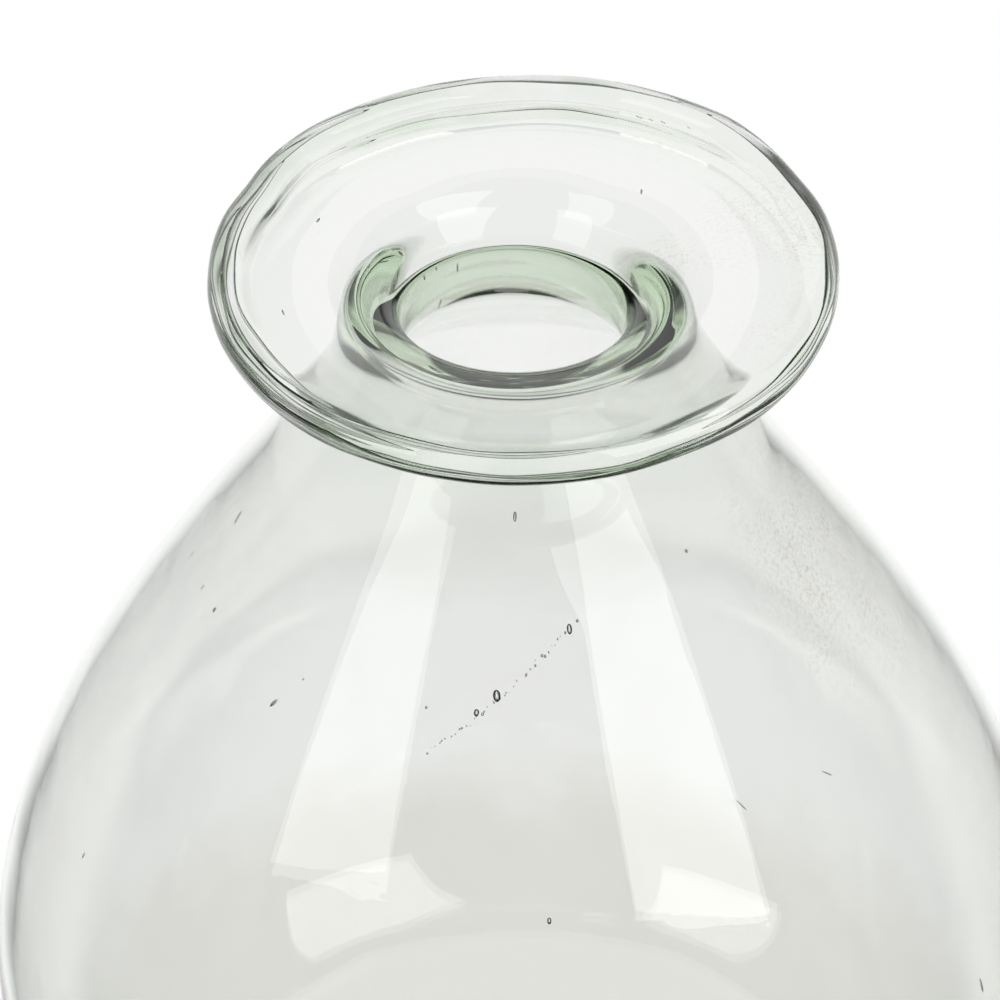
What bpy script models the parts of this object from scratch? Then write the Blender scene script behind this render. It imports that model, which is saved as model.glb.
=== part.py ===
# Mouth-blown glass wasp trap, standing open. A wide flared lip and a thick neck carry on into a
# bell-shaped body. The base turns in and rises to the wasps' way in, with the bait trough around
# it, and three applied feet lift the base off the table. Sizes are in metres and +Z is up.
import math

import bpy
import numpy as np

# Lip and neck
RIM_RADIUS = 0.049
RIM_ROLL = 0.0074
RIM_HEIGHT = 0.225
LIP_WALL = 0.00545
LIP_EASE = 0.0198
ROLL_EASE = 0.0085
THROAT_RADIUS = 0.0174
NECK_WALL = 0.0067
NECK_TAPER = 0.265
NECK_DROP = 0.0100
NECK_EASE = 0.006

# Shoulder and belly
SHOULDER_RADIUS = 0.0392
SHOULDER_DROP = 0.0398
SHOULDER_SLOPE = math.radians(55.8)
SHOULDER_WALL = 0.0038
SHOULDER_EASE_IN = 0.012
SHOULDER_EASE_OUT = 0.0334
BELLY_RADIUS = 0.0898
BELLY_HEIGHT = 0.0829
BELLY_EASE_UP = 0.0295
BELLY_EASE_DOWN = 0.038
BODY_WALL = 0.0030

# Bait trough and the way in
TROUGH_SET_IN = 0.0318
TROUGH_WALL = 0.0044
TROUGH_EASE = 0.020
UNDERSIDE_HEIGHT = 0.014
ENTRY_RADIUS = 0.022
ENTRY_WALL = 0.0050
ENTRY_HEIGHT = 0.0310
ENTRY_LEAN = math.radians(20.0)
ENTRY_EASE = 0.010

# Feet
FOOT_COUNT = 3
FOOT_FIRST_ANGLE = math.radians(270.0)
FOOT_SET_OUT = 0.004
FOOT_PAD_RADIUS = 0.0062
FOOT_BULGE_RADIUS = 0.0094
FOOT_BULGE_HEIGHT = 0.0044
FOOT_WAIST_RADIUS = 0.0089
FOOT_WAIST_HEIGHT = 0.0086
FOOT_SPREAD_RADIUS = 0.0135
SEAT_GAP = 0.0003

# Fineness of the turned surfaces
TURN_STEPS = 48
FOOT_STEPS = 24
CURVE_STEPS = (8, 5, 9, 8, 7)
END_STEPS = 6


def bezier(points, steps):
    a, b, c, d = (np.array(point) for point in points)
    t = np.linspace(0.0, 1.0, steps + 1)[:, None]
    s = 1.0 - t
    return s**3 * a + 3 * s**2 * t * b + 3 * s * t**2 * c + t**3 * d


def trough_radius():
    return BELLY_RADIUS - TROUGH_SET_IN


# Control points of the wall's middle line, each a radius, a height and a thickness
def wall_curves():
    rim = (RIM_RADIUS - RIM_ROLL / 2, RIM_HEIGHT, RIM_ROLL)
    throat = (THROAT_RADIUS + NECK_WALL / 2, RIM_HEIGHT - NECK_DROP, NECK_WALL)
    shoulder = (SHOULDER_RADIUS, RIM_HEIGHT - SHOULDER_DROP, SHOULDER_WALL)
    belly = (BELLY_RADIUS - BODY_WALL / 2, BELLY_HEIGHT, BODY_WALL)
    trough = (trough_radius(), UNDERSIDE_HEIGHT + TROUGH_WALL / 2, TROUGH_WALL)
    entry = (ENTRY_RADIUS + ENTRY_WALL / 2, ENTRY_HEIGHT - ENTRY_WALL / 2, ENTRY_WALL)
    # Thickness at the handles: it tapers evenly through the throat and is LIP_WALL halfway out
    roll_handle = NECK_WALL + NECK_TAPER * ROLL_EASE
    neck_handle = NECK_WALL - NECK_TAPER * NECK_EASE
    lip_handle = (8 * LIP_WALL - RIM_ROLL - 3 * roll_handle - NECK_WALL) / 3
    out = math.cos(SHOULDER_SLOPE)
    down = math.sin(SHOULDER_SLOPE)
    lean = math.sin(ENTRY_LEAN)
    rise = math.cos(ENTRY_LEAN)

    def on_shoulder(along, wall):
        return (shoulder[0] + along * out, shoulder[1] - along * down, wall)

    return (
        (
            rim,
            (rim[0] - LIP_EASE, rim[1], lip_handle),
            (throat[0], throat[1] + ROLL_EASE, roll_handle),
            throat,
        ),
        (
            throat,
            (throat[0], throat[1] - NECK_EASE, neck_handle),
            on_shoulder(-SHOULDER_EASE_IN, SHOULDER_WALL),
            shoulder,
        ),
        (
            shoulder,
            on_shoulder(SHOULDER_EASE_OUT, BODY_WALL),
            (belly[0], belly[1] + BELLY_EASE_UP, BODY_WALL),
            belly,
        ),
        (
            belly,
            (belly[0], belly[1] - BELLY_EASE_DOWN, BODY_WALL),
            (trough[0] + TROUGH_EASE, trough[1], TROUGH_WALL),
            trough,
        ),
        (
            trough,
            (trough[0] - TROUGH_EASE, trough[1], TROUGH_WALL),
            (entry[0] + ENTRY_EASE * lean, entry[1] - ENTRY_EASE * rise, TROUGH_WALL),
            entry,
        ),
    )


# The middle line as points, with the unit normal that faces out of the vessel at each of them
def wall_line(first=0):
    pieces = []
    for points, steps in list(zip(wall_curves(), CURVE_STEPS))[first:]:
        piece = bezier(points, steps)
        pieces.append(piece[1:] if pieces else piece)
    line = np.concatenate(pieces)
    along = np.gradient(line[:, :2], axis=0)
    along /= np.linalg.norm(along, axis=1)[:, None]
    outward = np.stack([-along[:, 1], along[:, 0]], axis=1)
    return line, along, outward


def round_end(centre, radius, start, over):
    angles = np.linspace(0.0, math.pi, END_STEPS + 1)[1:-1, None]
    return centre + radius * (np.cos(angles) * start + np.sin(angles) * over)


# Closed section of the vessel: down the outside, round the way in, up the inside, round the rim
def vessel_section():
    line, along, outward = wall_line()
    middle = line[:, :2]
    half = line[:, 2:] / 2
    return np.concatenate(
        [
            middle + outward * half,
            round_end(middle[-1], half[-1], outward[-1], along[-1]),
            (middle - outward * half)[::-1],
            round_end(middle[0], half[0], -outward[0], -along[0]),
        ]
    )


# Closed section of the space that the base takes up, grown by the gap, for cutting the feet
def seat_section():
    line, _, outward = wall_line(first=3)
    under = line[:, :2] + outward * (line[:, 2:] / 2 + SEAT_GAP)
    inner = under[:, 0] > trough_radius() - TROUGH_EASE
    under = under[inner]
    top = BELLY_HEIGHT
    lid = np.array([[under[-1, 0], top]])
    return np.concatenate([under, lid])


# Half section of a foot, from the axis at its top to the axis at its pad
def foot_section():
    top = UNDERSIDE_HEIGHT + FOOT_SPREAD_RADIUS
    waist = (FOOT_WAIST_RADIUS, FOOT_WAIST_HEIGHT)
    bulge = (FOOT_BULGE_RADIUS, FOOT_BULGE_HEIGHT)
    spread = (FOOT_SPREAD_RADIUS, top)
    middle = (waist[1] + bulge[1]) / 2
    flare = bezier((spread, (spread[0], UNDERSIDE_HEIGHT), (waist[0], UNDERSIDE_HEIGHT), waist), 6)
    side = bezier((waist, (waist[0], middle), (bulge[0], middle), bulge), 3)
    turn = np.linspace(0.0, math.pi / 2, 5)[1:]
    toe = np.stack(
        [
            FOOT_PAD_RADIUS + (FOOT_BULGE_RADIUS - FOOT_PAD_RADIUS) * np.cos(turn),
            FOOT_BULGE_HEIGHT * (1.0 - np.sin(turn)),
        ],
        axis=1,
    )
    axis_top = np.array([[0.0, top]])
    axis_pad = np.array([[0.0, 0.0]])
    return np.concatenate([axis_top, flare, side[1:], toe, axis_pad])


def turned(name, section, closed, steps, collection):
    mesh = bpy.data.meshes.new(name)
    count = len(section)
    edges = [(i, i + 1) for i in range(count - 1)]
    if closed:
        edges.append((count - 1, 0))
    mesh.from_pydata([(r, 0.0, z) for r, z in section], edges, [])
    obj = bpy.data.objects.new(name, mesh)
    collection.objects.link(obj)
    screw = obj.modifiers.new("turn", "SCREW")
    screw.axis = "Z"
    screw.angle = math.tau
    screw.steps = steps
    screw.render_steps = steps
    screw.use_merge_vertices = True
    screw.merge_threshold = 0.00001
    screw.use_smooth_shade = True
    return obj


def glass(name, tint):
    material = bpy.data.materials.new(name)
    material.use_nodes = True
    shader = material.node_tree.nodes["Principled BSDF"]
    shader.inputs["Base Color"].default_value = (*tint, 1.0)
    shader.inputs["Roughness"].default_value = 0.0
    shader.inputs["IOR"].default_value = 1.51
    shader.inputs["Transmission Weight"].default_value = 1.0
    return material


def collection_named(name):
    collection = bpy.data.collections.new(name)
    bpy.context.scene.collection.children.link(collection)
    return collection


def build():
    for obj in list(bpy.data.objects):
        bpy.data.objects.remove(obj)
    trap = collection_named("wasp_trap")
    cutters = collection_named("cutters")

    vessel = turned("glass_body", vessel_section(), True, TURN_STEPS, trap)
    vessel.data.materials.append(glass("blown_glass", (0.93, 0.97, 0.93)))

    seat = turned("seat_cutter", seat_section(), True, TURN_STEPS, cutters)
    seat.hide_render = True
    seat.display_type = "WIRE"

    foot_glass = glass("foot_glass", (0.90, 0.96, 0.90))
    ring = trough_radius() + FOOT_SET_OUT
    for index in range(FOOT_COUNT):
        angle = FOOT_FIRST_ANGLE + math.tau * index / FOOT_COUNT
        foot = turned(f"foot_{index + 1}", foot_section(), False, FOOT_STEPS, trap)
        foot.location = (ring * math.cos(angle), ring * math.sin(angle), 0.0)
        foot.rotation_euler = (0.0, 0.0, angle)
        foot.data.materials.append(foot_glass)
        cut = foot.modifiers.new("seat", "BOOLEAN")
        cut.operation = "DIFFERENCE"
        cut.solver = "EXACT"
        cut.object = seat


build()
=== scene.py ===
import math

import bpy
import numpy as np
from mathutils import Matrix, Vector, noise


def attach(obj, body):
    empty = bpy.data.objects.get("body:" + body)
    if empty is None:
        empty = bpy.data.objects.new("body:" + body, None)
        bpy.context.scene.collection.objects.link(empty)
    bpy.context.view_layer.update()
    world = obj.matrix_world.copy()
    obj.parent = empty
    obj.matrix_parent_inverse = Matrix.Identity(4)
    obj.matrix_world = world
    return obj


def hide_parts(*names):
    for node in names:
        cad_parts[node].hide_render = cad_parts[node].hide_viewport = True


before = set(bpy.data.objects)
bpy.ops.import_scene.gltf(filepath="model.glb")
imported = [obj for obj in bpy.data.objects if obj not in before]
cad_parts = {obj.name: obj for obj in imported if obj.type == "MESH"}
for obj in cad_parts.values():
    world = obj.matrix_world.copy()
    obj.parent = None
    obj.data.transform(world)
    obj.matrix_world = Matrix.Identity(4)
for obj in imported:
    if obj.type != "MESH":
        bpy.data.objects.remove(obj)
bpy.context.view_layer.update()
mmPerMetre = 1000.0
scene = bpy.context.scene
scene.view_settings.view_transform = "Standard"

# The trap's wall, in metres: one middle line from the rim down to the way in, with its thickness
trapWall = {
    "rimRadius": 0.049,
    "rimRoll": 0.0074,
    "rimHeight": 0.225,
    "lipWall": 0.00545,
    "lipEase": 0.0198,
    "rollEase": 0.0081,
    "throatRadius": 0.0174,
    "neckWall": 0.0067,
    "neckTaper": 0.30,
    "neckDrop": 0.0115,
    "neckEase": 0.006,
    "neckSwell": 0.005,  # glass left thick in the foot of the neck
    "shoulderRadius": 0.0392,
    "shoulderDrop": 0.0398,
    "shoulderSlope": 55.8,  # degrees
    "shoulderWall": 0.0038,
    "shoulderEaseIn": 0.012,
    "shoulderEaseOut": 0.0334,
    "bellyRadius": 0.0898,
    "bellyHeight": 0.0829,
    "bellyEaseUp": 0.0295,
    "bellyEaseDown": 0.038,
    "bodyWall": 0.0030,
    "troughSetIn": 0.0318,
    "troughWall": 0.0044,
    "troughEase": 0.020,
    "undersideHeight": 0.014,
    "entryRadius": 0.022,
    "entryWall": 0.0050,
    "entryHeight": 0.0310,
    "entryLean": 20.0,  # degrees
    "entryEase": 0.010,
    "curveSteps": (48, 26, 46, 36, 30),  # lip, neck, shoulder, and the two curves of the base
    "endSteps": 14,
    "turns": 216,
}

# What the glassmaker's hand left uneven
handWork = {
    # how far each ring sits off the body's middle, to the right and to the back
    "lipShift": (-0.0005, 0.0),
    "neckShift": (-0.0021, -0.0012),
    "shoulderShift": (-0.0007, -0.0003),
    "lipTilt": 0.97,  # degrees, right side up
    # angle round the rim, width, both in degrees, and how far the rim swells there
    "rimSwells": (
        (137.0, 9.0, 0.00050),
        (156.0, 6.0, -0.00050),
        (99.0, 12.0, -0.00040),
        (46.0, 9.0, 0.00035),
        (25.0, 8.0, -0.00025),
        (320.0, 14.0, 0.00050),
    ),
    "swellFade": 2,  # power of the lip's share that fades the swells towards the neck
    "beadSwell": 0.00030,  # uneven thickness of the rolled edge
    "beadScale": (4.0, 4.0, 4.0),
    "beadEdge": 0.0039,  # how far the rolled edge reaches from its middle
    "beadFade": 6,
    "bodyDrift": 0.00022,  # slow wander of the whole wall
    "driftScale": (14.0, 14.0, 9.0),
    "wallRipple": 0.000018,  # inner and outer face each ripple by themselves
    "rippleScale": (60.0, 60.0, 110.0),
    "fineShare": 0.5,  # a finer ripple on top, as a share of the first
    "fineScale": (150.0, 150.0, 260.0),
}

photoView = {
    "elevation": 38.4,  # degrees
    "distance": 0.9,
    "focalPixels": 5808.0,
    "framePixels": 1000.0,
    "rimAtPixel": (523.1, 271.8),
    "sensor": 36.0,
    "clipStart": 0.01,
}


def aimCamera():
    elevation = math.radians(photoView["elevation"])
    half = photoView["framePixels"] / 2
    focal = photoView["focalPixels"]
    column, row = photoView["rimAtPixel"]
    data = bpy.data.cameras.new("photoCamera")
    data.sensor_width = photoView["sensor"]
    data.lens = focal * photoView["sensor"] / photoView["framePixels"]
    data.clip_start = photoView["clipStart"]
    camera = bpy.data.objects.new("photoCamera", data)
    scene.collection.objects.link(camera)
    rim = Vector((*handWork["lipShift"], trapWall["rimHeight"]))
    sight = Vector((0.0, math.cos(elevation), -math.sin(elevation)))
    camera.location = rim - photoView["distance"] * sight
    pitch = elevation + math.atan((half - row) / focal)
    yaw = math.atan((column - half) / focal) / math.cos(pitch)
    camera.rotation_euler = (math.pi / 2 - pitch, 0.0, yaw)
    scene.camera = camera


aimCamera()
print("camera aimed")


def bezierPoints(points, steps):
    a, b, c, d = (np.array(point) for point in points)
    t = np.linspace(0.0, 1.0, steps + 1)[:, None]
    s = 1.0 - t
    return s**3 * a + 3 * s**2 * t * b + 3 * s * t**2 * c + t**3 * d


# Control points of the wall's five curves, each a radius, a height and a thickness
def wallCurves():
    w = trapWall
    rim = (w["rimRadius"] - w["rimRoll"] / 2, w["rimHeight"], w["rimRoll"])
    throat = (w["throatRadius"] + w["neckWall"] / 2, w["rimHeight"] - w["neckDrop"], w["neckWall"])
    shoulder = (w["shoulderRadius"], w["rimHeight"] - w["shoulderDrop"], w["shoulderWall"])
    belly = (w["bellyRadius"] - w["bodyWall"] / 2, w["bellyHeight"], w["bodyWall"])
    trough = (
        w["bellyRadius"] - w["troughSetIn"],
        w["undersideHeight"] + w["troughWall"] / 2,
        w["troughWall"],
    )
    entry = (
        w["entryRadius"] + w["entryWall"] / 2,
        w["entryHeight"] - w["entryWall"] / 2,
        w["entryWall"],
    )
    rollHandle = w["neckWall"] + w["neckTaper"] * w["rollEase"]
    neckHandle = w["neckWall"] + w["neckSwell"]
    # a curve's middle is (a + 3b + 3c + d) / 8, and the lip is lipWall thick there
    lipHandle = (8 * w["lipWall"] - w["rimRoll"] - 3 * rollHandle - w["neckWall"]) / 3
    slope = math.radians(w["shoulderSlope"])
    lean = math.radians(w["entryLean"])

    def onShoulder(along, wall):
        return (shoulder[0] + along * math.cos(slope), shoulder[1] - along * math.sin(slope), wall)

    return (
        (
            rim,
            (rim[0] - w["lipEase"], rim[1], lipHandle),
            (throat[0], throat[1] + w["rollEase"], rollHandle),
            throat,
        ),
        (
            throat,
            (throat[0], throat[1] - w["neckEase"], neckHandle),
            onShoulder(-w["shoulderEaseIn"], w["shoulderWall"]),
            shoulder,
        ),
        (
            shoulder,
            onShoulder(w["shoulderEaseOut"], w["bodyWall"]),
            (belly[0], belly[1] + w["bellyEaseUp"], w["bodyWall"]),
            belly,
        ),
        (
            belly,
            (belly[0], belly[1] - w["bellyEaseDown"], w["bodyWall"]),
            (trough[0] + w["troughEase"], trough[1], w["troughWall"]),
            trough,
        ),
        (
            trough,
            (trough[0] - w["troughEase"], trough[1], w["troughWall"]),
            (
                entry[0] + w["entryEase"] * math.sin(lean),
                entry[1] - w["entryEase"] * math.cos(lean),
                w["troughWall"],
            ),
            entry,
        ),
    )


# Middle line, its direction, its outward normal, and three columns: how much each point belongs to
# the lip, and how far it sits off the body's middle to the right and to the back
def wallLine():
    rings = [handWork["lipShift"], handWork["neckShift"], handWork["shoulderShift"]]
    rings += [(0.0, 0.0)] * (len(trapWall["curveSteps"]) + 1 - len(rings))
    rings = np.array(rings)
    pieces = []
    shares = []
    shifts = []
    for number, (points, steps) in enumerate(zip(wallCurves(), trapWall["curveSteps"])):
        piece = bezierPoints(points, steps)
        ease = np.linspace(0.0, 1.0, steps + 1)
        ease = ease**2 * (3 - 2 * ease)
        first = 1 if pieces else 0
        pieces.append(piece[first:])
        shares.append((1.0 - ease if number == 0 else 0.0 * ease)[first:])
        shifts.append((rings[number] + np.outer(ease, rings[number + 1] - rings[number]))[first:])
    line = np.concatenate(pieces)
    share = np.column_stack([np.concatenate(shares), np.concatenate(shifts)])
    along = np.gradient(line[:, :2], axis=0)
    along /= np.linalg.norm(along, axis=1)[:, None]
    outward = np.stack([-along[:, 1], along[:, 0]], axis=1)
    return line, along, outward, share


def roundEnd(centre, radius, start, over):
    angles = np.linspace(0.0, math.pi, trapWall["endSteps"] + 1)[1:-1, None]
    normals = np.cos(angles) * start + np.sin(angles) * over
    return centre + radius * normals, normals


# Closed section: down the outside, round the way in, up the inside and round the rim
def trapSection():
    line, along, outward, share = wallLine()
    middle = line[:, :2]
    half = line[:, 2:] / 2
    entryEnd, entryNormals = roundEnd(middle[-1], half[-1], outward[-1], along[-1])
    rimEnd, rimNormals = roundEnd(middle[0], half[0], -outward[0], -along[0])
    points = np.concatenate(
        [middle + outward * half, entryEnd, (middle - outward * half)[::-1], rimEnd]
    )
    normals = np.concatenate([outward, entryNormals, -outward[::-1], rimNormals])
    entryShare = np.repeat(share[-1:], len(entryEnd), axis=0)
    rimShare = np.repeat(share[:1], len(rimEnd), axis=0)
    share = np.concatenate([share, entryShare, share[::-1], rimShare])
    return points, normals, share[:, 0], share[:, 1:]


noiseApart = (17.3, 41.9, 8.7)  # steps in the noise from one seed to the next


def noiseField(places, scale, seed):
    stretch = np.asarray(places) * np.asarray(scale)
    offset = np.array(noiseApart) * seed
    return np.array([noise.noise(Vector(place)) for place in stretch + offset])


# Quads between rings of points, with the last ring joined to the first
def ringFaces(rings, count):
    i, j = np.meshgrid(np.arange(rings), np.arange(count), indexing="ij")
    nextI = (i + 1) % rings
    nextJ = (j + 1) % count
    quads = [i * count + j, i * count + nextJ, nextI * count + nextJ, nextI * count + j]
    return np.stack(quads, axis=-1).reshape(-1, 4).tolist()


def newPiece(name, vertices, faces, material):
    mesh = bpy.data.meshes.new(name)
    mesh.from_pydata(np.asarray(vertices).tolist(), [], [list(map(int, face)) for face in faces])
    mesh.shade_smooth()
    mesh.update()
    piece = bpy.data.objects.new(name, mesh)
    scene.collection.objects.link(piece)
    piece.data.materials.append(material)
    return piece


def rimSwell(angles):
    swell = np.zeros_like(angles)
    for place, width, height in handWork["rimSwells"]:
        away = (np.degrees(angles) - place + 180.0) % 360.0 - 180.0
        swell += height * np.exp(-((away / width) ** 2))
    return swell


# Air caught in the wall. A seed is a bearing in degrees, a place along the wall counted in curves
# from the rim, a half width and a half length in millimetres and a lean in degrees.
caughtAir = {
    "seeds": (
        (265.2, 2.092, 0.60, 0.98, 8.0),
        (261.5, 2.118, 0.42, 0.60, 0.0),
        (280.8, 1.990, 0.42, 0.85, 0.0),
        (282.8, 1.960, 0.22, 0.26, 0.0),
        (251.8, 2.122, 0.20, 0.24, 0.0),
        (269.2, 1.525, 0.26, 0.80, 0.0),
        (222.2, 2.204, 0.26, 0.90, -24.0),
        (226.0, 2.152, 0.14, 0.18, 0.0),
        (273.8, 2.386, 0.34, 0.55, 0.0),
        (201.0, 2.586, 0.18, 0.60, 0.0),
        (314.8, 1.840, 0.22, 0.34, 20.0),
        (332.5, 2.748, 0.26, 1.30, -8.0),
        (170.0, 2.154, 0.16, 1.10, 14.0),
        (185.0, 2.088, 0.28, 1.20, 20.0),
        (179.5, 2.210, 0.16, 0.70, 10.0),
        (190.5, 2.192, 0.14, 0.60, 0.0),
        (197.8, 2.184, 0.26, 0.46, 0.0),
        (322.5, 2.330, 0.10, 1.20, 40.0),
        (305.8, 2.300, 0.10, 1.30, 28.0),
        (158.5, 0.213, 0.20, 0.60, 90.0),
        (196.8, 0.123, 0.14, 0.75, 90.0),
        (64.0, 0.057, 0.16, 0.60, 80.0),
        (61.3, 0.053, 0.12, 0.40, 80.0),
        (58.5, 0.047, 0.14, 0.50, 80.0),
        (52.8, 0.030, 0.10, 0.35, 80.0),
        (48.0, 0.380, 0.16, 0.55, 40.0),
        (127.0, 1.275, 0.22, 1.10, 0.0),
        (118.0, 1.010, 0.16, 0.80, 0.0),
        (138.8, 0.957, 0.18, 0.45, 10.0),
        (130.3, 0.950, 0.14, 0.35, 0.0),
    ),
    "deepest": 0.36,  # half depth that a bubble may have, as a share of the wall
    "rings": 9,
    "sides": 12,
    # a string of beads drawn out across the front, from one bearing and place to another
    "stringFrom": (253.4, 2.182),
    "stringTo": (280.0, 1.998),
    "stringSpread": (0.275, 0.003),
    "stringBeads": 42,
    "beadSize": (0.07, 0.22),
    "beadStretch": 0.6,  # how much longer than wide a bead may be
    "chance": 7,
    # folds in the rolled rim: first and last bearing in degrees, then how far out and up from the
    # middle of the roll, half width and half height in millimetres
    "folds": (
        (122.0, 250.0, 1.3, 0.7, 1.25, 0.45),
        (134.0, 236.0, 2.5, -0.6, 0.45, 0.95),
        (128.0, 242.0, 2.7, 0.7, 0.40, 0.60),
        (146.0, 232.0, 0.3, 1.9, 0.90, 0.26),
        (160.0, 290.0, 1.4, -1.5, 0.80, 0.30),
        (304.0, 412.0, 1.6, 0.6, 0.85, 0.32),
        (296.0, 384.0, 2.5, -0.6, 0.36, 0.70),
        (226.0, 286.0, 0.7, 1.5, 0.50, 0.20),
        (58.0, 124.0, 2.1, 0.3, 0.40, 0.24),
    ),
    "foldSteps": 70,
    "foldSides": 10,
    "foldWander": 0.35,  # millimetres
    "foldWaves": 3.2,  # noise steps for each radian round the rim
    "foldsApart": 3.7,  # noise steps from one fold to the next
    "foldSwell": 0.9,  # how much a fold's section swells and shrinks on its way
    "foldTaper": 0.0004,  # keeps the ends from closing
    "foldLeast": 0.02,
    "foldSeed": 1,  # noise vectors follow the clock unless they are seeded
}


def unitBubble():
    rings = caughtAir["rings"]
    sides = caughtAir["sides"]
    points = [(0.0, 0.0, 1.0)]
    for ring in range(1, rings):
        tilt = math.pi * ring / rings
        reach = math.sin(tilt)
        for side in range(sides):
            turn = math.tau * side / sides
            points.append((reach * math.cos(turn), reach * math.sin(turn), math.cos(tilt)))
    points.append((0.0, 0.0, -1.0))
    last = len(points) - 1
    faces = []
    for side in range(sides):
        after = (side + 1) % sides
        faces.append((0, 1 + after, 1 + side))
        for ring in range(rings - 2):
            a = 1 + ring * sides
            b = a + sides
            faces.append((a + side, a + after, b + after, b + side))
        a = 1 + (rings - 2) * sides
        faces.append((a + side, a + after, last))
    return np.array(points), faces


# A fold is a long thin hollow that follows the rim and runs out at both ends
def foldHollow(first, last, out, up, halfWidth, halfHeight, seed):
    steps = caughtAir["foldSteps"]
    sides = caughtAir["foldSides"]
    middle = trapWall["rimRadius"] - trapWall["rimRoll"] / 2
    tilt = math.tan(math.radians(handWork["lipTilt"]))
    shiftX, shiftY = handWork["lipShift"]
    points = []
    for step in range(steps + 1):
        share = step / steps
        bearing = math.radians(first + share * (last - first))
        inNoise = (caughtAir["foldWaves"] * bearing, caughtAir["foldsApart"] * seed, 0.0)
        wander = noise.noise_vector(Vector(inNoise))
        taper = math.sqrt(max(math.sin(math.pi * share), caughtAir["foldTaper"]))
        swell = max(taper * (1.0 + caughtAir["foldSwell"] * wander[2]), caughtAir["foldLeast"])
        offOut = out + caughtAir["foldWander"] * wander[0]
        offUp = up + caughtAir["foldWander"] * wander[1]
        rim = float(rimSwell(np.array([bearing % math.tau]))[0]) + middle
        for side in range(sides):
            turn = math.tau * side / sides
            radius = rim + (offOut + swell * halfWidth * math.cos(turn)) / mmPerMetre
            rise = (offUp + swell * halfHeight * math.sin(turn)) / mmPerMetre
            x = radius * math.cos(bearing)
            y = radius * math.sin(bearing)
            points.append((x + shiftX, y + shiftY, trapWall["rimHeight"] + rise + tilt * x))
    faces = ringFaces(steps + 1, sides)[:-sides]
    faces.append(tuple(reversed(range(sides))))
    faces.append(tuple(range(steps * sides, (steps + 1) * sides)))
    return np.array(points), faces


# The beads of the string, each as a seed
def stringSeeds():
    chance = np.random.default_rng(caughtAir["chance"])
    small, large = caughtAir["beadSize"]
    start = np.array(caughtAir["stringFrom"])
    end = np.array(caughtAir["stringTo"])
    seeds = []
    for place in np.linspace(0.0, 1.0, caughtAir["stringBeads"]):
        spot = start + place * (end - start)
        spot = spot + chance.normal(size=2) * caughtAir["stringSpread"]
        size = small + (large - small) * chance.random() ** 2
        length = size * (1.0 + caughtAir["beadStretch"] * chance.random())
        seeds.append((*spot, size, length, 0.0))
    return seeds


# Every bubble's faces look into the bubble, where the glass ends
def trapAir():
    line, along, _, share = wallLine()
    steps = trapWall["curveSteps"]
    marks = [number + np.linspace(0.0, 1.0, count + 1)[1:] for number, count in enumerate(steps)]
    marks = np.concatenate([[0.0], *marks])
    columns = np.column_stack([line, share, along]).T
    tilt = math.tan(math.radians(handWork["lipTilt"]))
    bubble, bubbleFaces = unitBubble()
    points = []
    faces = []
    for bearing, mark, halfWidth, halfLength, lean in [*caughtAir["seeds"], *stringSeeds()]:
        found = [np.interp(mark, marks, column) for column in columns]
        radius, height, wall, onLip, offX, offY, downOut, downUp = found
        turn = math.radians(bearing)
        flat = np.array([math.cos(turn), math.sin(turn), 0.0])
        rise = np.array([0.0, 0.0, 1.0])
        height = height + tilt * radius * math.cos(turn) * onLip
        middle = radius * flat + height * rise + np.array([offX, offY, 0.0])
        down = downOut * flat + downUp * rise
        down = down / np.linalg.norm(down)
        out = np.cross(down, np.cross(flat, rise))
        out = out if out @ flat > 0 or out @ rise > 0 else -out
        across = np.cross(out, down)
        tip = math.cos(math.radians(lean)) * down + math.sin(math.radians(lean)) * across
        side = np.cross(out, tip)
        half = halfWidth / mmPerMetre
        deep = min(half, caughtAir["deepest"] * wall)
        shape = bubble[:, :1] * side * half + bubble[:, 1:2] * out * deep
        shape = shape + bubble[:, 2:] * tip * halfLength / mmPerMetre
        for face in bubbleFaces:
            faces.append([corner + len(points) * len(bubble) for corner in face])
        points.append(middle + shape)
    points = np.concatenate(points)
    noise.seed_set(caughtAir["foldSeed"])
    for seed, fold in enumerate(caughtAir["folds"]):
        hollow, hollowFaces = foldHollow(*fold, seed)
        faces.extend([corner + len(points) for corner in face] for face in hollowFaces)
        points = np.concatenate([points, hollow])
    return points, faces


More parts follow.
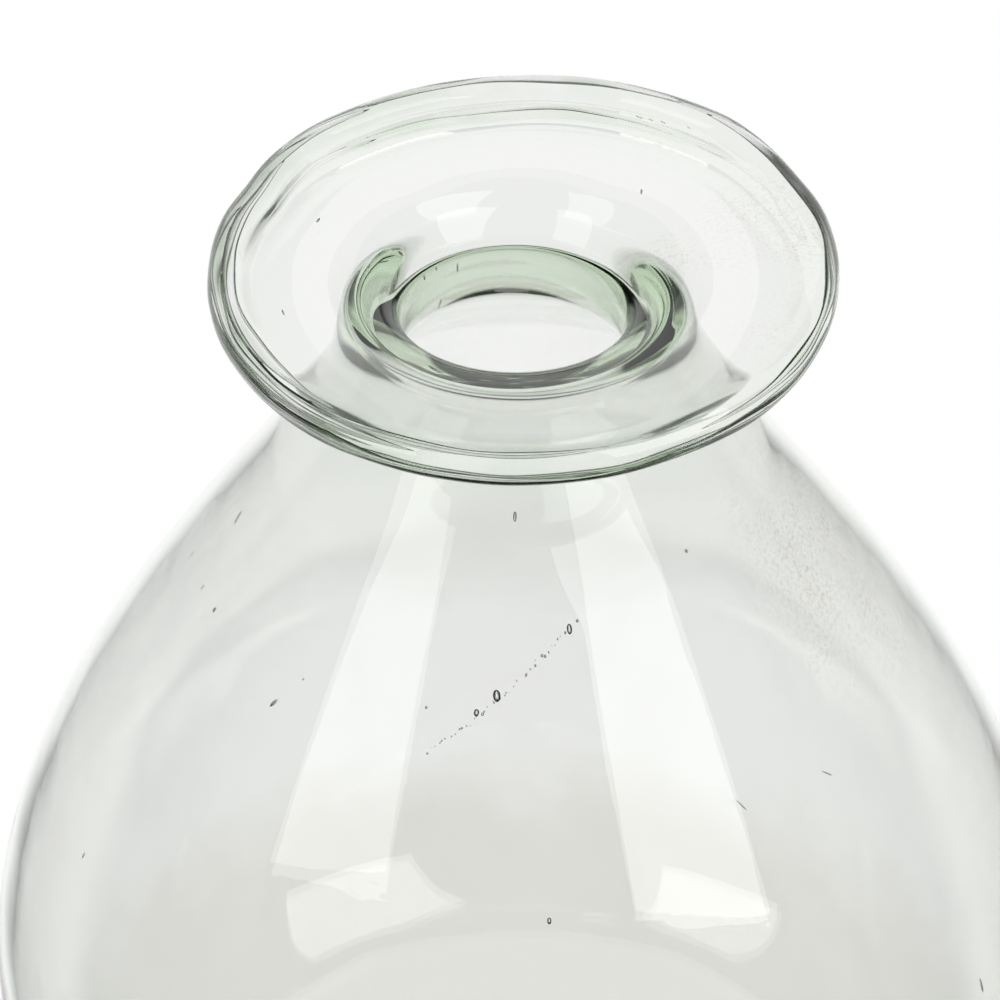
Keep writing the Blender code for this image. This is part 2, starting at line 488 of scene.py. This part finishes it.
def blowTrap(material):
    section, normals, lipShare, shift = trapSection()
    turns = trapWall["turns"]
    count = len(section)
    angles = np.linspace(0.0, math.tau, turns, endpoint=False)
    cos = np.cos(angles)[:, None]
    sin = np.sin(angles)[:, None]
    radius = np.broadcast_to(section[:, 0], (turns, count)).copy()
    height = np.broadcast_to(section[:, 1], (turns, count)).copy()
    places = np.stack([radius * cos, radius * sin, height], axis=-1).reshape(-1, 3)

    ripple = noiseField(places, handWork["rippleScale"], seed=1)
    ripple += handWork["fineShare"] * noiseField(places, handWork["fineScale"], seed=2)
    drift = noiseField(places, handWork["driftScale"], seed=3)
    push = handWork["wallRipple"] * ripple.reshape(turns, count)
    drift = handWork["bodyDrift"] * drift.reshape(turns, count)
    circle = np.stack([np.cos(angles), np.sin(angles), 0.0 * angles], axis=-1)
    bead = noiseField(circle, handWork["beadScale"], seed=4)
    beadMiddle = trapWall["rimRadius"] - trapWall["rimRoll"] / 2
    fromBead = np.hypot(section[:, 0] - beadMiddle, section[:, 1] - trapWall["rimHeight"])
    onBead = (fromBead < handWork["beadEdge"]) * lipShare ** handWork["beadFade"]
    push = push + handWork["beadSwell"] * bead[:, None] * onBead[None, :]
    radius += normals[None, :, 0] * push + drift
    radius += rimSwell(angles)[:, None] * lipShare[None, :] ** handWork["swellFade"]
    height += normals[None, :, 1] * push

    x = radius * cos
    y = radius * sin
    tilt = math.tan(math.radians(handWork["lipTilt"]))
    height = height + tilt * x * lipShare
    x = x + shift[:, 0]
    y = y + shift[:, 1]
    vertices = np.stack([x, y, height], axis=-1).reshape(-1, 3)
    faces = ringFaces(turns, count)
    bubbles, bubbleFaces = trapAir()
    vertices = np.concatenate([vertices, bubbles])
    faces.extend([corner + turns * count for corner in face] for face in bubbleFaces)
    return newPiece("blownBody", vertices, faces, material)


# One applied foot: a drop of glass pressed on under the trough and set down on the table
appliedFoot = {
    "count": 3,
    "firstAngle": 270.0,  # degrees
    "setOut": 0.004,
    "padRadius": 0.0062,
    "bulgeRadius": 0.0094,
    "bulgeHeight": 0.0044,
    "waistRadius": 0.0089,
    "waistHeight": 0.0086,
    "spreadRadius": 0.0135,
    "seat": 0.00015,  # how far its top stays under the glass of the base
    "uneven": 0.03,  # how much the foot is out of round, as a share of its radius
    "feetApart": 5.0,  # noise steps from one foot to the next
    "turns": 72,
    "toeSteps": 12,
    "waistSteps": 12,
    "flareSteps": 30,
    "fineSteps": 400,
    "sideSteps": 40,
    "padSteps": 8,
}


# Half section from the edge of the pad up to the widest place of the flare
def footProfile():
    f = appliedFoot
    under = trapWall["undersideHeight"]
    waist = (f["waistRadius"], f["waistHeight"])
    bulge = (f["bulgeRadius"], f["bulgeHeight"])
    spread = (f["spreadRadius"], under + f["spreadRadius"])
    middle = (waist[1] + bulge[1]) / 2
    turn = np.linspace(math.pi / 2, 0.0, f["toeSteps"] + 1)[:-1]
    toe = np.stack(
        [
            f["padRadius"] + (f["bulgeRadius"] - f["padRadius"]) * np.cos(turn),
            f["bulgeHeight"] * (1.0 - np.sin(turn)),
        ],
        axis=1,
    )
    side = bezierPoints((bulge, (bulge[0], middle), (waist[0], middle), waist), f["waistSteps"])
    flare = bezierPoints((waist, (waist[0], under), (spread[0], under), spread), f["flareSteps"])
    return np.concatenate([toe, side, flare[1:]])


# Each column of points runs out over the pad, up the side to the base and back in along the base
def pressFoot(index, material):
    f = appliedFoot
    line, _, outward, _ = wallLine()
    below = line[:, :2] + outward * line[:, 2:] / 2
    base = below[-sum(trapWall["curveSteps"][-2:]):][::-1]
    reach = np.maximum.accumulate(base[:, 0])
    profile = footProfile()
    steps = np.linspace(0.0, 1.0, len(profile))
    fine = np.linspace(0.0, 1.0, f["fineSteps"])
    fineRadius = np.interp(fine, steps, profile[:, 0])
    fineHeight = np.interp(fine, steps, profile[:, 1])
    angle = math.radians(f["firstAngle"]) + math.tau * index / f["count"]
    ring = trapWall["bellyRadius"] - trapWall["troughSetIn"] + f["setOut"]
    centre = np.array([ring * math.cos(angle), ring * math.sin(angle)])
    inward = np.linspace(1.0, 0.0, f["padSteps"] + 1)[1:-1]
    flat = np.zeros(len(inward))
    top = len(inward) + 1

    def seatHeight(x, y):
        return np.interp(np.hypot(x, y), reach, base[:, 1]) - f["seat"]

    columns = []
    for turn in np.linspace(0.0, math.tau, f["turns"], endpoint=False):
        inNoise = (math.cos(turn), math.sin(turn), f["feetApart"] * index)
        swell = 1.0 + f["uneven"] * noise.noise(Vector(inNoise))
        x = centre[0] + swell * fineRadius * math.cos(turn)
        y = centre[1] + swell * fineRadius * math.sin(turn)
        over = np.argmax(fineHeight >= seatHeight(x, y))
        share = np.linspace(0.0, fine[over], f["sideSteps"])
        radii = swell * np.interp(share, fine, fineRadius)
        radii = np.concatenate([radii[0] * inward[::-1], radii, radii[-1] * inward])
        heights = np.concatenate([flat, np.interp(share, fine, fineHeight), flat])
        x = centre[0] + radii * math.cos(turn)
        y = centre[1] + radii * math.sin(turn)
        heights[-top:] = seatHeight(x[-top:], y[-top:])
        columns.append(np.stack([x, y, heights], axis=1))
    count = len(columns[0])
    padMiddle = [*centre, 0.0]
    topMiddle = [*centre, float(seatHeight(*centre))]
    vertices = np.concatenate([*columns, [padMiddle, topMiddle]])
    faces = []
    for i in range(f["turns"]):
        a = i * count
        b = (i + 1) % f["turns"] * count
        faces.append((len(vertices) - 2, b, a))
        for j in range(count - 1):
            faces.append((a + j, b + j, b + j + 1, a + j + 1))
        faces.append((len(vertices) - 1, a + count - 1, b + count - 1))
    return newPiece(f"appliedFoot{index + 1}", vertices, faces, material)


def addNode(tree, kind, **values):
    node = tree.nodes.new(kind)
    for name, value in values.items():
        setattr(node, name, value)
    return node


# Colours are given as three values, and a colour socket takes a fourth
def setSocket(socket, value):
    socket.default_value = (*value, 1.0) if socket.type == "RGBA" else value


def setInputs(node, **values):
    for name, value in values.items():
        setSocket(node.inputs[name.replace("_", " ")], value)
    return node


def linkIn(tree, source, socket):
    if isinstance(source, bpy.types.NodeSocket):
        tree.links.new(source, socket)
    else:
        setSocket(socket, source)


def blendColours(tree, factor, first, second):
    mix = addNode(tree, "ShaderNodeMix", data_type="RGBA")
    linkIn(tree, factor, mix.inputs["Factor"])
    linkIn(tree, first, mix.inputs["A"])
    linkIn(tree, second, mix.inputs["B"])
    return mix.outputs["Result"]


def smoothBetween(tree, value, low, high):
    ramp = addNode(tree, "ShaderNodeMapRange", interpolation_type="SMOOTHSTEP")
    linkIn(tree, value, ramp.inputs["Value"])
    linkIn(tree, low, ramp.inputs["From Min"])
    linkIn(tree, high, ramp.inputs["From Max"])
    return ramp.outputs["Result"]


def maths(tree, operation, *values):
    node = addNode(tree, "ShaderNodeMath", operation=operation)
    for place, value in enumerate(values):
        linkIn(tree, value, node.inputs[place])
    return node.outputs["Value"]


def product(tree, first, *others):
    for other in others:
        first = maths(tree, "MULTIPLY", first, other)
    return first


def objectPlace(tree):
    return addNode(tree, "ShaderNodeTexCoord").outputs["Object"]


def splitPlace(tree, place):
    split = addNode(tree, "ShaderNodeSeparateXYZ")
    tree.links.new(place, split.inputs["Vector"])
    return split.outputs


def stretched(tree, place, scale):
    node = addNode(tree, "ShaderNodeVectorMath", operation="MULTIPLY")
    linkIn(tree, place, node.inputs[0])
    linkIn(tree, scale, node.inputs[1])
    return node.outputs["Vector"]


def middleDistance(tree, place):
    away = addNode(tree, "ShaderNodeVectorMath", operation="LENGTH")
    tree.links.new(place, away.inputs[0])
    return away.outputs["Value"]


def axisDistance(tree, place):
    return middleDistance(tree, stretched(tree, place, (1.0, 1.0, 0.0)))


def noiseAt(tree, place, scale, detail, roughness=0.55):
    node = setInputs(addNode(tree, "ShaderNodeTexNoise"), Detail=detail, Roughness=roughness)
    linkIn(tree, place, node.inputs["Vector"])
    linkIn(tree, scale, node.inputs["Scale"])
    return node.outputs["Fac"]


# Noise of some detail, cut to blots that begin at one value and are full at another
def blotsAt(tree, place, scale, detail, begin, full):
    return smoothBetween(tree, noiseAt(tree, place, scale, detail), begin, full)


def startGroup(name, inputs, outputs):
    group = bpy.data.node_groups.new(name, "ShaderNodeTree")
    for way, sockets in (("INPUT", inputs), ("OUTPUT", outputs)):
        for label, kind in sockets.items():
            group.interface.new_socket(label, in_out=way, socket_type=f"NodeSocket{kind}")
    start = addNode(group, "NodeGroupInput")
    end = addNode(group, "NodeGroupOutput")
    return group, start.outputs, end.inputs


# Years of use: a grey film in cloudy patches, runs where water dried on its way down, residue low
# in the trap and grime on the rim, most of it on the left
filmPattern = {
    # noise detail, then the noise values where a mark begins and is full
    "patches": (5.0, 0.46, 0.80),
    "runs": (3.0, 0.52, 0.80),
    "grimeBlots": (4.0, 0.32, 0.60),
    "runStretch": (1.0, 1.0, 0.16),
    "runStrength": 0.7,
    "tideScale": 40.0,
    "tideDetail": 4.0,
    "tideRise": 0.03,  # how far the residue's edge wanders up and down
    "grimeScale": 70.0,
    # in metres, from none to full
    "lipHeight": (0.205, 0.215),
    "grimeLeft": (0.045, -0.025),
}


def filmGroup():
    group, given, out = startGroup(
        "agedFilm",
        {
            "Clear": "Color",
            "Film": "Color",
            "Patch Scale": "Float",
            "Run Scale": "Float",
            "Rim Cover": "Float",
            "Residue": "Color",
            "Residue From": "Float",
            "Residue To": "Float",
            "Grime": "Color",
            "Grime From": "Float",
            "Grime To": "Float",
        },
        {"Colour": "Color"},
    )
    p = filmPattern
    place = objectPlace(group)
    axes = splitPlace(group, place)
    patches = blotsAt(group, place, given["Patch Scale"], *p["patches"])
    downward = stretched(group, place, p["runStretch"])
    runs = blotsAt(group, downward, given["Run Scale"], *p["runs"])
    cover = maths(group, "MAXIMUM", patches, product(group, runs, p["runStrength"]))
    onLip = smoothBetween(group, axes["Z"], *p["lipHeight"])
    cover = maths(group, "MAXIMUM", cover, product(group, onLip, given["Rim Cover"]))
    colour = blendColours(group, cover, given["Clear"], given["Film"])

    tide = noiseAt(group, place, p["tideScale"], p["tideDetail"])
    tide = maths(group, "MULTIPLY_ADD", tide, p["tideRise"], axes["Z"])
    low = smoothBetween(group, tide, given["Residue To"], given["Residue From"])
    colour = blendColours(group, low, colour, given["Residue"])

    edge = smoothBetween(group, axisDistance(group, place), given["Grime From"], given["Grime To"])
    blots = blotsAt(group, place, p["grimeScale"], *p["grimeBlots"])
    left = smoothBetween(group, axes["X"], *p["grimeLeft"])
    grimy = product(group, product(group, edge, onLip), product(group, blots, left))
    group.links.new(blendColours(group, grimy, colour, given["Grime"]), out["Colour"])
    return group


# Dry dust that settled on one side: grains, thicker in some patches than in others
dustPattern = {
    # noise detail, then the noise values where a mark begins and is full
    "grains": (2.0, 0.50, 0.66),
    "patches": (3.0, 0.40, 0.62),
    "patchScale": 34.0,
}


def dustGroup():
    group, given, out = startGroup(
        "settledDust",
        {
            "Side From": "Float",
            "Side To": "Float",
            "Low": "Float",
            "High": "Float",
            "Grain Scale": "Float",
            "Amount": "Float",
        },
        {"Cover": "Float"},
    )
    p = dustPattern
    place = objectPlace(group)
    axes = splitPlace(group, place)
    side = maths(group, "DIVIDE", axes["X"], axisDistance(group, place))
    side = smoothBetween(group, side, given["Side From"], given["Side To"])
    raised = smoothBetween(group, axes["Z"], given["Low"], given["High"])
    grains = blotsAt(group, place, given["Grain Scale"], *p["grains"])
    patches = blotsAt(group, place, p["patchScale"], *p["patches"])
    cover = product(group, grains, patches, product(group, side, raised), given["Amount"])
    group.links.new(cover, out["Cover"])
    return group


# Faint striae from turning the hot glass: they run round the piece and drift
striaePattern = {
    "stretch": (0.55, 0.55, 1.6),
    "detail": 3.0,
}


def striaeGroup():
    sockets = {"Scale": "Float", "Depth": "Float"}
    group, given, out = startGroup("turnedStriae", sockets, {"Normal": "Vector"})
    around = stretched(group, objectPlace(group), striaePattern["stretch"])
    bands = noiseAt(group, around, given["Scale"], striaePattern["detail"])
    bump = addNode(group, "ShaderNodeBump")
    group.links.new(bands, bump.inputs["Height"])
    group.links.new(given["Depth"], bump.inputs["Distance"])
    group.links.new(bump.outputs["Normal"], out["Normal"])
    return group


agedFilm = filmGroup()
settledDust = dustGroup()
turnedStriae = striaeGroup()
print("surface groups made")

blownGlass = {
    "clear": (1.0, 0.992, 1.0),
    "film": (0.957, 0.946, 0.958),
    "patchScale": 26.0,
    "runScale": 90.0,
    "rimCover": 0.9,
    "residue": (0.88, 0.865, 0.84),
    "residueAt": (0.045, 0.070),  # heights, from full to none
    "grime": (0.72, 0.77, 0.70),
    "grimeAt": (0.045, 0.048),  # distance from the axis, from none to full
    "dust": (0.66, 0.56, 0.46),
    "dustSide": (0.78, 1.0),  # share of the way round to the right, from none to full
    "dustHeight": (0.125, 0.175),
    "dustGrain": 1500.0,
    "dustAmount": 0.5,
    "dustRough": 0.25,
    "striaeScale": 70.0,
    "striaeDepth": 0.000015,
    "tint": (0.62, 0.76, 0.56),
    "density": 30.0,
    "bend": 1.51,
}

footGlass = {
    "clear": (0.965, 0.97, 0.962),
    "film": (0.90, 0.895, 0.88),
    "patchScale": 140.0,
    "runScale": 320.0,
    "rimCover": 0.0,
    "residue": (0.90, 0.885, 0.86),
    "residueAt": (-0.02, 0.0),
    "grime": (0.72, 0.77, 0.70),
    "grimeAt": (0.045, 0.048),
    "dust": (0.62, 0.56, 0.48),
    "dustSide": (-1.2, -0.8),
    "dustHeight": (0.0, 0.014),
    "dustGrain": 1500.0,
    "dustAmount": 0.4,
    "dustRough": 0.25,
    "striaeScale": 260.0,
    "striaeDepth": 0.00003,
    "tint": (0.70, 0.90, 0.66),
    "density": 30.0,
    "bend": 1.51,
}


def makeGlass(name, look):
    material = bpy.data.materials.new(name)
    material.use_nodes = True
    tree = material.node_tree
    shader = tree.nodes["Principled BSDF"]
    setInputs(shader, IOR=look["bend"], Transmission_Weight=1.0)

    film = addNode(tree, "ShaderNodeGroup", node_tree=agedFilm)
    setInputs(film, Clear=look["clear"], Film=look["film"], Rim_Cover=look["rimCover"])
    setInputs(film, Patch_Scale=look["patchScale"], Run_Scale=look["runScale"])
    full, none = look["residueAt"]
    setInputs(film, Residue=look["residue"], Residue_From=full, Residue_To=none)
    none, full = look["grimeAt"]
    setInputs(film, Grime=look["grime"], Grime_From=none, Grime_To=full)

    dust = addNode(tree, "ShaderNodeGroup", node_tree=settledDust)
    none, full = look["dustSide"]
    setInputs(dust, Side_From=none, Side_To=full)
    low, high = look["dustHeight"]
    setInputs(dust, Low=low, High=high)
    setInputs(dust, Grain_Scale=look["dustGrain"], Amount=look["dustAmount"])

    striae = addNode(tree, "ShaderNodeGroup", node_tree=turnedStriae)
    setInputs(striae, Scale=look["striaeScale"], Depth=look["striaeDepth"])

    dusty = dust.outputs["Cover"]
    colour = blendColours(tree, dusty, film.outputs["Colour"], look["dust"])
    tree.links.new(colour, shader.inputs["Base Color"])
    tree.links.new(product(tree, dusty, look["dustRough"]), shader.inputs["Roughness"])
    tree.links.new(striae.outputs["Normal"], shader.inputs["Normal"])
    absorb = addNode(tree, "ShaderNodeVolumeAbsorption")
    setInputs(absorb, Color=look["tint"], Density=look["density"])
    tree.links.new(absorb.outputs["Volume"], tree.nodes["Material Output"].inputs["Volume"])
    return material


body = blowTrap(makeGlass("blownGlass", blownGlass))
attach(body, "root")
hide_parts("glass_body")
print("body blown:", len(body.data.polygons), "faces")

footMaterial = makeGlass("footGlass", footGlass)
for index in range(appliedFoot["count"]):
    foot = pressFoot(index, footMaterial)
    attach(foot, "root")
    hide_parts(f"foot_{index + 1}")
print("feet pressed on")

# Studio: a white table, a backdrop and a ceiling sheet that keep to the camera's direction, and two
# tall windows that keep to its bearing, as when a piece is turned in front of fixed lights
studio = {
    "tableSize": 6.0,
    "shadowRadius": 0.085,
    "shadowBlur": 0.060,
    "shadow": 0.22,
    "rigHeight": 0.13,
    "room": (0.046, 0.050, 0.042),  # the dim room round the rigs, seen through the glass
    "mirrorRoom": (0.45, 0.455, 0.465),  # and as the glass reflects it
    "backdropAway": 0.40,
    "backdropSize": 4.0,
    # the white field behind the glass, each edge from full to none
    "fieldWidth": (0.15, 0.30),
    "fieldSpread": 0.9,  # how much wider the field gets towards its bottom
    "fieldBottom": (-0.90, -1.20),
    "fieldTop": (0.30, 0.55),
    "shadowPatchWidth": (0.40, 0.60),  # painted shadow: a dark patch low in the middle, under the piece
    "shadowPatchTop": (-0.34, -0.26),
    "mirrorField": (0.75, 1.15),  # how far from the middle reflections see white
    "ceiling": (1.05, 1.03, 1.05),
    "ceilingPlace": (0.0, 0.62, -0.10),  # over the piece, in the rig's own axes
    "ceilingSize": (0.36, 0.80),
    # each window's light and its corners: bearing from the camera's side and lift, in degrees
    "windows": (
        (2.0, ((-64.5, 7.5), (-35.0, 14.9), (-50.0, 64.0), (-84.0, 58.0))),
        (2.4, ((28.0, 14.5), (59.5, 7.0), (86.0, 58.0), (20.0, 64.0))),
    ),
    "windowAway": 1.3,
    "bounces": 24,
    "glossyBounces": 12,
}
white = (1.0, 1.0, 1.0)


def glowSheet(name, size):
    half = size / 2
    corners = [(-half, -half, 0.0), (half, -half, 0.0), (half, half, 0.0), (-half, half, 0.0)]
    material = bpy.data.materials.new(name)
    material.use_nodes = True
    tree = material.node_tree
    tree.nodes.remove(tree.nodes["Principled BSDF"])
    glow = addNode(tree, "ShaderNodeEmission")
    tree.links.new(glow.outputs["Emission"], tree.nodes["Material Output"].inputs["Surface"])
    sheet = newPiece(name, corners, [(0, 1, 2, 3)], material)
    return sheet, tree, glow.inputs["Color"]


# The table shows only to the camera; in and through the glass the backdrop takes its place
def layTable():
    table, tree, colour = glowSheet("whiteTable", studio["tableSize"])
    radius = studio["shadowRadius"]
    blur = studio["shadowBlur"]
    away = middleDistance(tree, objectPlace(tree))
    clear = smoothBetween(tree, away, radius - blur, radius + blur)
    shade = tuple(part - studio["shadow"] for part in white)
    tree.links.new(blendColours(tree, clear, shade, white), colour)
    table.visible_transmission = False
    table.visible_glossy = False


# An upright rig keeps to the camera's bearing alone
def raiseRig(name, upright):
    rig = bpy.data.objects.new(name, None)
    scene.collection.objects.link(rig)
    rig.location = (0.0, 0.0, studio["rigHeight"])
    follow = rig.constraints.new("COPY_ROTATION")
    follow.target = scene.camera
    follow.use_x = not upright
    follow.use_y = not upright
    return rig


# A sheet on a rig shows in and through the glass, and not to the camera
def hangSheet(rig, name, size):
    sheet, tree, colour = glowSheet(name, size)
    sheet.parent = rig
    sheet.visible_camera = False
    return sheet, tree, colour


def hangBackdrop(rig):
    sheet, tree, colour = hangSheet(rig, "backdrop", studio["backdropSize"])
    sheet.location = (0.0, 0.0, -studio["backdropAway"])
    place = objectPlace(tree)
    axes = splitPlace(tree, place)

    def fade(value, edge):
        full, none = studio[edge]
        return smoothBetween(tree, value, none, full)

    aside = maths(tree, "ABSOLUTE", axes["X"])
    below = maths(tree, "MINIMUM", axes["Y"], 0.0)
    across = maths(tree, "MULTIPLY_ADD", below, studio["fieldSpread"], aside)
    upright = product(tree, fade(axes["Y"], "fieldBottom"), fade(axes["Y"], "fieldTop"))
    # painted shadow: the dark patch low in the middle of the white field, under the piece, is shade
    # painted into the backdrop
    patch = product(tree, fade(aside, "shadowPatchWidth"), fade(axes["Y"], "shadowPatchTop"))
    outsideShadow = maths(tree, "SUBTRACT", 1.0, patch)
    field = product(tree, upright, fade(across, "fieldWidth"), outsideShadow)
    mirrorField = fade(middleDistance(tree, place), "mirrorField")
    through = blendColours(tree, field, studio["room"], white)
    mirrored = blendColours(tree, mirrorField, studio["mirrorRoom"], white)
    path = addNode(tree, "ShaderNodeLightPath")
    tree.links.new(blendColours(tree, path.outputs["Is Reflection Ray"], through, mirrored), colour)


def hangCeiling(rig):
    sheet, _, colour = hangSheet(rig, "ceilingSheet", 1.0)
    setSocket(colour, studio["ceiling"])
    sheet.location = studio["ceilingPlace"]
    sheet.rotation_euler = (math.pi / 2, 0.0, 0.0)
    sheet.scale = (*studio["ceilingSize"], 1.0)


def hangWindow(rig, number, light, corners):
    sheet, _, colour = hangSheet(rig, f"window{number}", 1.0)
    setSocket(colour, (light, light, light))
    for vertex, corner in zip(sheet.data.vertices, corners):
        across, up = (math.radians(angle) for angle in corner)
        level = math.cos(up)
        toCorner = Vector((math.sin(across) * level, -math.cos(across) * level, math.sin(up)))
        vertex.co = studio["windowAway"] * toCorner


# White to the camera, and the dim room to everything else
def dimRoom():
    world = bpy.data.worlds.new("studioRoom")
    scene.world = world
    world.use_nodes = True
    tree = world.node_tree
    path = addNode(tree, "ShaderNodeLightPath")
    mirrored = path.outputs["Is Reflection Ray"]
    around = blendColours(tree, mirrored, studio["room"], studio["mirrorRoom"])
    seen = blendColours(tree, path.outputs["Is Camera Ray"], around, white)
    tree.links.new(seen, tree.nodes["Background"].inputs["Color"])


dimRoom()
layTable()
backdropRig = raiseRig("backdropRig", upright=False)
hangBackdrop(backdropRig)
hangCeiling(backdropRig)
windowRig = raiseRig("windowRig", upright=True)
for number, window in enumerate(studio["windows"]):
    hangWindow(windowRig, number + 1, *window)
scene.cycles.max_bounces = studio["bounces"]
scene.cycles.transmission_bounces = studio["bounces"]
scene.cycles.glossy_bounces = studio["glossyBounces"]
print("studio lit")
